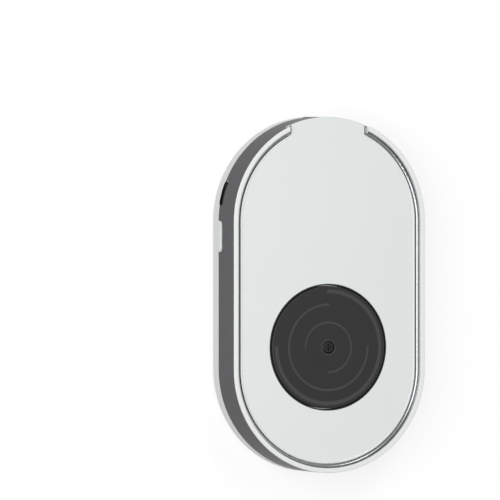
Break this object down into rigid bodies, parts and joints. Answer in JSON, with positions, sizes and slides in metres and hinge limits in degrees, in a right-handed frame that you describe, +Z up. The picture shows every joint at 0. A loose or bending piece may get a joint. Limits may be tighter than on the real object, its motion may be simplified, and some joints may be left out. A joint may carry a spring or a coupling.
{
  "type": "mouse jiggler",
  "caption": "Stadium-shaped desk housing with a raised rim round a recessed plate, a motor-driven turntable, a side push button, a USB-C socket and a power slide.",
  "frame": {"origin": "on the desk, under the centre of the stadium-shaped housing", "axes": "+Z up out of the plate; +Y along the housing's length, from the turntable's end to the end with the gap in the rim and the power slide; +X across, away from the push button and the USB-C socket"},
  "size_m": [0.0757, 0.1285, 0.0212],
  "materials": {
    "shell_plastic": "fine satin moulding",
    "plate_plastic": "fine satin moulding",
    "band_plastic": "dark grey, satin with soft reflections",
    "trim_plating": "satin plated",
    "foot_rubber": "matte",
    "screw_steel": "plated",
    "disc_plastic": "fine matte",
    "dark_screw": "black oxide",
    "polished_steel": "polished",
    "black_plastic": "matte",
    "bronze": "sintered bronze",
    "gear_plastic": "natural acetal",
    "brass": "turned",
    "can_steel": "plated",
    "white_plastic": "matte",
    "lead_insulation": "smooth",
    "board_laminate": "solder mask",
    "button_plastic": "fine satin moulding",
    "knob_plastic": "ribbed, matte"
  },
  "bodies": {
    "housing": {"rear_cover": "shell_plastic", "side_frame": "band_plastic", "front_rim": "shell_plastic", "groove_trim": "trim_plating", "top_plate": "plate_plastic", "rubber_feet": "foot_rubber", "cover_screws": "screw_steel", "support_ring": "polished_steel", "turntable_well": "black_plastic", "spindle_bush": "bronze", "well_screws": "screw_steel", "gear_axle": "screw_steel", "motor_can": "can_steel", "motor_end_cap": "white_plastic", "motor_terminals": "brass", "motor_clamp": "can_steel", "clamp_screws": "screw_steel", "motor_leads": "lead_insulation", "circuit_board": "board_laminate", "board_screws": "screw_steel", "usb_shell": "can_steel", "usb_tongue": "black_plastic", "button_switch_body": "black_plastic", "slide_switch_body": "can_steel", "board_chips": "black_plastic", "lead_socket": "white_plastic"},
    "turntable": {"turntable_disc": "disc_plastic", "disc_screw": "dark_screw", "output_gear": "gear_plastic"},
    "reduction_gear": {"compound_gear": "gear_plastic"},
    "worm_shaft": {"worm": "brass", "motor_shaft": "screw_steel"},
    "push_button": {"side_button": "button_plastic", "button_switch_plunger": "white_plastic"},
    "power_knob": {"slide_knob": "knob_plastic", "slide_switch_lever": "black_plastic"}
  },
  "joints": [
    {"name": "turntable_spin", "type": "hinge", "parent": "housing", "child": "turntable", "pos_m": [0, -0.0189, 0.0173], "axis": [0, 0, 1], "continuous": true},
    {"name": "reduction_spin", "type": "hinge", "parent": "housing", "child": "reduction_gear", "pos_m": [0.012, -0.0004, 0.008], "axis": [0, 0, 1], "continuous": true},
    {"name": "worm_spin", "type": "hinge", "parent": "housing", "child": "worm_shaft", "pos_m": [0.0223, -0.0004, 0.008], "axis": [0, 1, 0], "continuous": true},
    {"name": "button_press", "type": "slide", "parent": "housing", "child": "push_button", "axis": [1, 0, 0], "range_m": [0, 0.0005], "stiffness_N_per_m": 600, "springref_m": -0.003},
    {"name": "power_slide", "type": "slide", "parent": "housing", "child": "power_knob", "axis": [1, 0, 0], "range_m": [0, 0.004]}
  ],
  "couplings": [
    {"joint": "reduction_spin", "follows": "turntable_spin", "ratio": -3.5},
    {"joint": "worm_spin", "follows": "turntable_spin", "ratio": 70}
  ]
}
